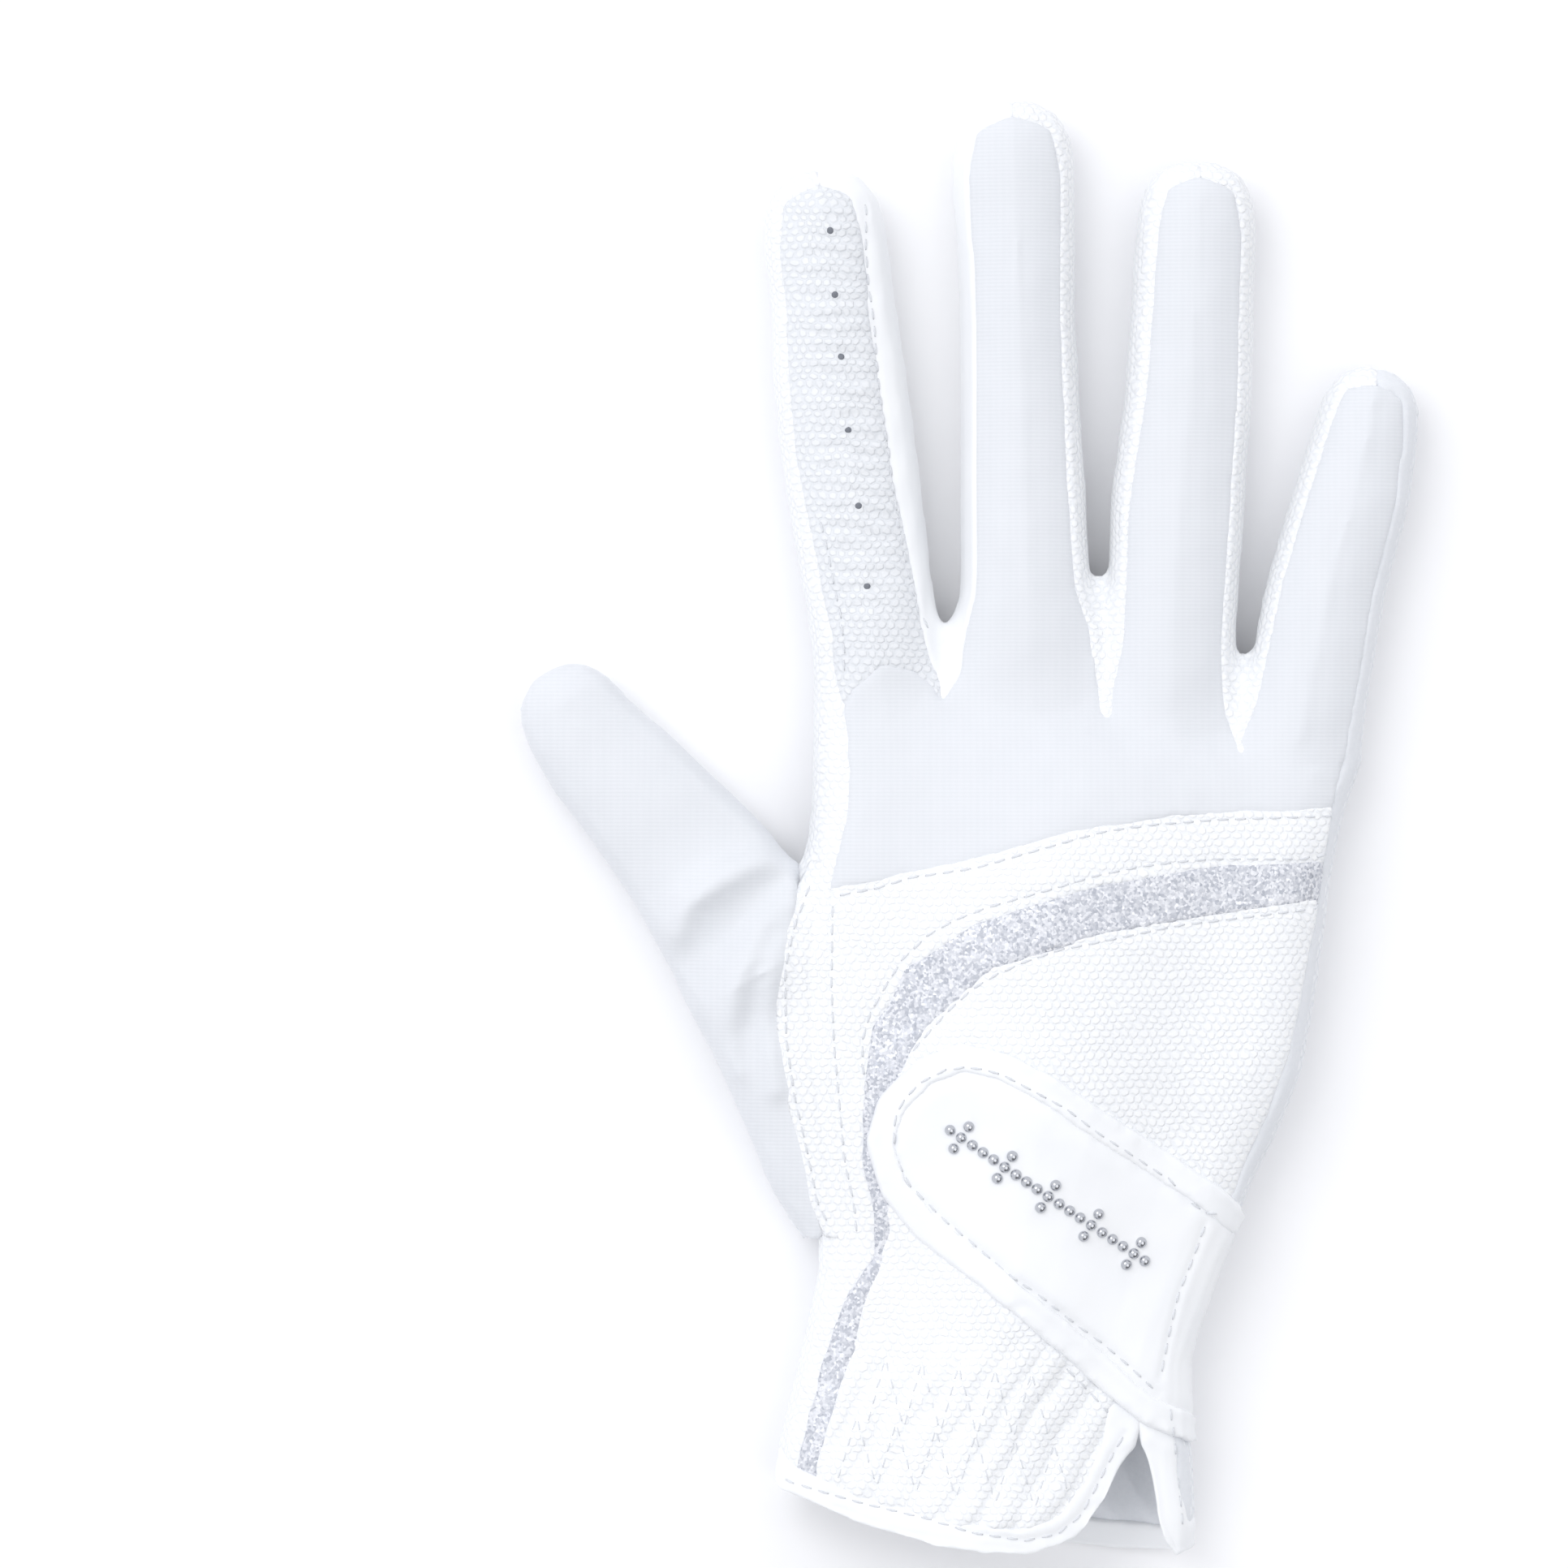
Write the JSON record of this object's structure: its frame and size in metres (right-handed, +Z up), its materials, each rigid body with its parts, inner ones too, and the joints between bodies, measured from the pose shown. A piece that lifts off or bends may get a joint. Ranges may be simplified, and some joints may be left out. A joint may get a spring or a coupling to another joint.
{
  "type": "horse riding glove",
  "caption": "Right-hand riding glove lying palm down: knit back, leather palm and fingers, glitter stripe, gathered wrist, bound cuff and a studded closing strap.",
  "frame": {"origin": "middle of the glove's outline, on the surface it lies on", "axes": "+Y towards the fingertips, +X towards the little finger, +Z up from the palm to the back of the hand"},
  "size_m": [0.1498, 0.242, 0.0264],
  "materials": {
    "leather": "white synthetic leather embossed with small hexagons, satin",
    "smooth_leather": "smooth white synthetic leather, satin",
    "palm_leather": "white grip leather embossed with small hexagons, satin",
    "knit": "finely ribbed stretch knit, matt",
    "glitter": "silver glitter fabric, sparkling",
    "metal": "polished dome studs"
  },
  "bodies": {
    "root": {"back_panel": "knit", "thumb_back": "knit", "index_back": "leather", "thumb_side_strip": "leather", "knuckle_band": "leather", "wrist_back_panel": "leather", "fourchette_index_middle": "leather", "fourchette_middle_ring": "leather", "fourchette_ring_little": "leather", "glitter_stripe": "glitter", "palm_panel": "palm_leather", "index_rein_patch": "palm_leather", "little_finger_patch": "palm_leather", "thumb_palm": "palm_leather", "back_cuff_binding": "smooth_leather", "palm_cuff_binding": "smooth_leather", "closure_strap": "smooth_leather", "strap_binding": "smooth_leather", "stud_01": "metal", "stud_02": "metal", "stud_03": "metal", "stud_04": "metal", "stud_05": "metal", "stud_06": "metal", "stud_07": "metal", "stud_08": "metal", "stud_09": "metal", "stud_10": "metal", "stud_11": "metal", "stud_12": "metal", "stud_13": "metal", "stud_14": "metal", "stud_15": "metal", "stud_16": "metal", "stud_17": "metal", "stud_18": "metal", "stud_19": "metal", "stud_20": "metal", "stud_21": "metal", "stud_22": "metal", "stud_23": "metal", "stud_24": "metal", "stud_25": "metal", "stud_26": "metal", "stud_27": "metal", "stud_28": "metal", "stud_29": "metal"}
  },
  "joints": []
}
